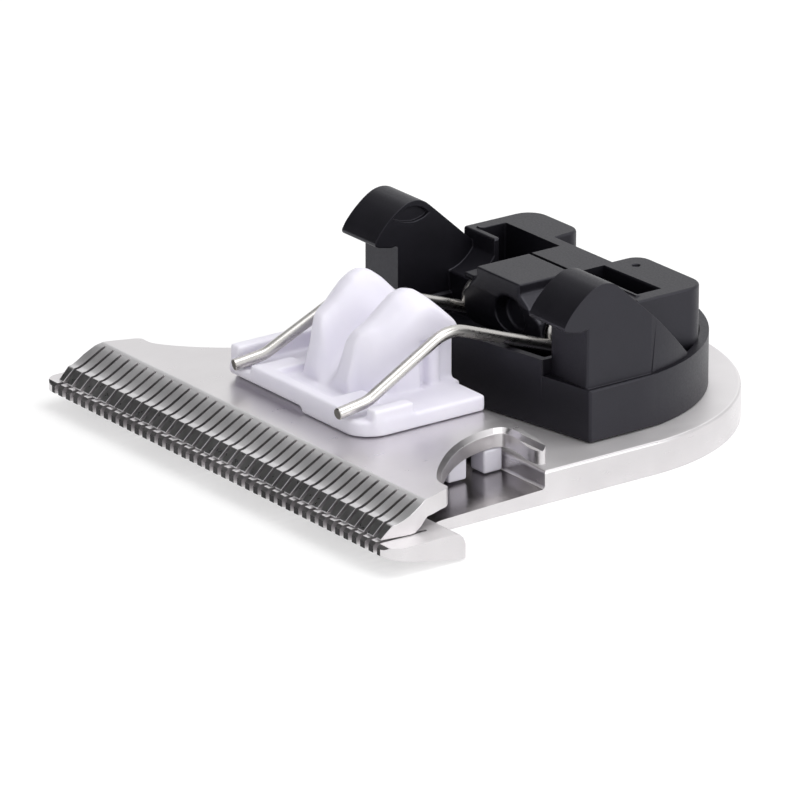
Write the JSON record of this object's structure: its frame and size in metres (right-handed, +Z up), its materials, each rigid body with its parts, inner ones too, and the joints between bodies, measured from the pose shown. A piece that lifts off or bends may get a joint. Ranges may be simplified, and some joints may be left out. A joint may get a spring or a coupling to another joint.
{
  "type": "detachable clipper blade head",
  "caption": "Detachable T-shaped pet clipper blade head: toothed fixed and moving steel blades, white drive follower, torsion spring and black latch bracket.",
  "frame": {"origin": "centre of the bounding box in X and Y, at the plane of the fixed blade's underside", "axes": "X along the tooth row, -Y towards the cutting edge, +Z up through the bracket"},
  "size_m": [0.0438, 0.0442, 0.0144],
  "materials": {
    "steel": "satin, ground arrises, polished recess floor",
    "white_plastic": "milky white, soft sheen",
    "black_plastic": "satin black moulding",
    "spring_steel": "bright drawn wire",
    "screw_steel": "plain machined"
  },
  "bodies": {
    "base": {"fixed_blade": "steel", "bracket": "black_plastic", "spring_holder": "black_plastic", "torsion_spring": "spring_steel", "bracket_screw_left": "screw_steel", "bracket_screw_right": "screw_steel"},
    "cutter": {"moving_blade": "steel", "drive_follower": "white_plastic", "follower_rivet_left": "screw_steel", "follower_rivet_right": "screw_steel", "glide_foot_front_left": "white_plastic", "glide_foot_front_right": "white_plastic", "glide_foot_rear_left": "white_plastic", "glide_foot_rear_right": "white_plastic"}
  },
  "joints": [
    {"name": "cutter_stroke", "type": "slide", "parent": "base", "child": "cutter", "axis": [1, 0, 0], "range_m": [-0.00095, 0.00145], "deforming": ["torsion_spring"]}
  ]
}
